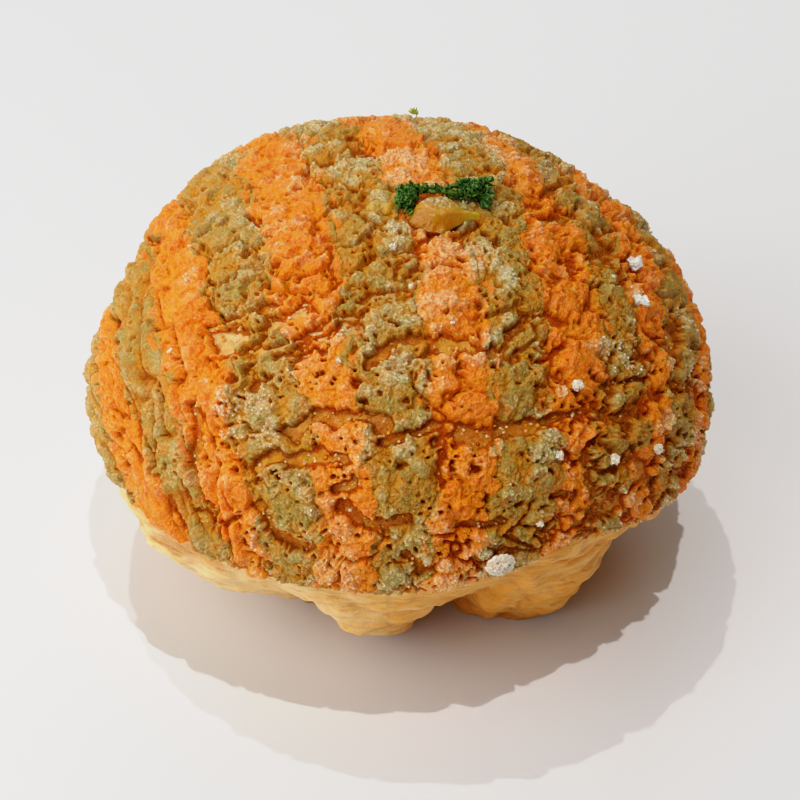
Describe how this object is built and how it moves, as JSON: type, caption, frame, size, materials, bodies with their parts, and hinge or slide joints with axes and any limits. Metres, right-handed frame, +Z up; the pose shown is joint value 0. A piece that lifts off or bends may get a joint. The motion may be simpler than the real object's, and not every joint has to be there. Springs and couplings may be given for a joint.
{
  "type": "melon pan bun",
  "caption": "Round melon pan bun: soft bread under draped strips of orange and green biscuit crust, topped with candied peel and a parsley sprig, standing on its own lobed base.",
  "frame": {"origin": "on the table, below the middle of the bun's outline seen from above", "axes": "+Z up; -Y towards the front that shows two lobes of the base and the wedge of peel; +X to the right"},
  "size_m": [0.1095, 0.1097, 0.0809],
  "materials": {
    "bread": "baked bread skin, satin",
    "green_crust": "crumbly sugared biscuit crust, olive green",
    "orange_crust": "crumbly sugared biscuit crust, orange",
    "candied_peel": "candied peel, moist and clear",
    "parsley": "curly parsley leaf",
    "sugar": "coarse sugar crystals"
  },
  "bodies": {
    "root": {"bread": "bread", "crust_01_green": "green_crust", "crust_02_orange": "orange_crust", "crust_03_green": "green_crust", "crust_04_orange": "orange_crust", "crust_05_green": "green_crust", "crust_06_orange": "orange_crust", "crust_07_green": "green_crust", "crust_08_orange": "orange_crust", "crust_09_green": "green_crust", "crust_10_orange": "orange_crust", "crust_11_green": "green_crust", "crust_12_orange": "orange_crust", "crust_13_green": "green_crust", "crust_14_orange": "orange_crust", "crust_15_green": "green_crust", "candied_wedge": "candied_peel", "candied_chip": "candied_peel", "parsley_sprig": "parsley"}
  },
  "joints": []
}
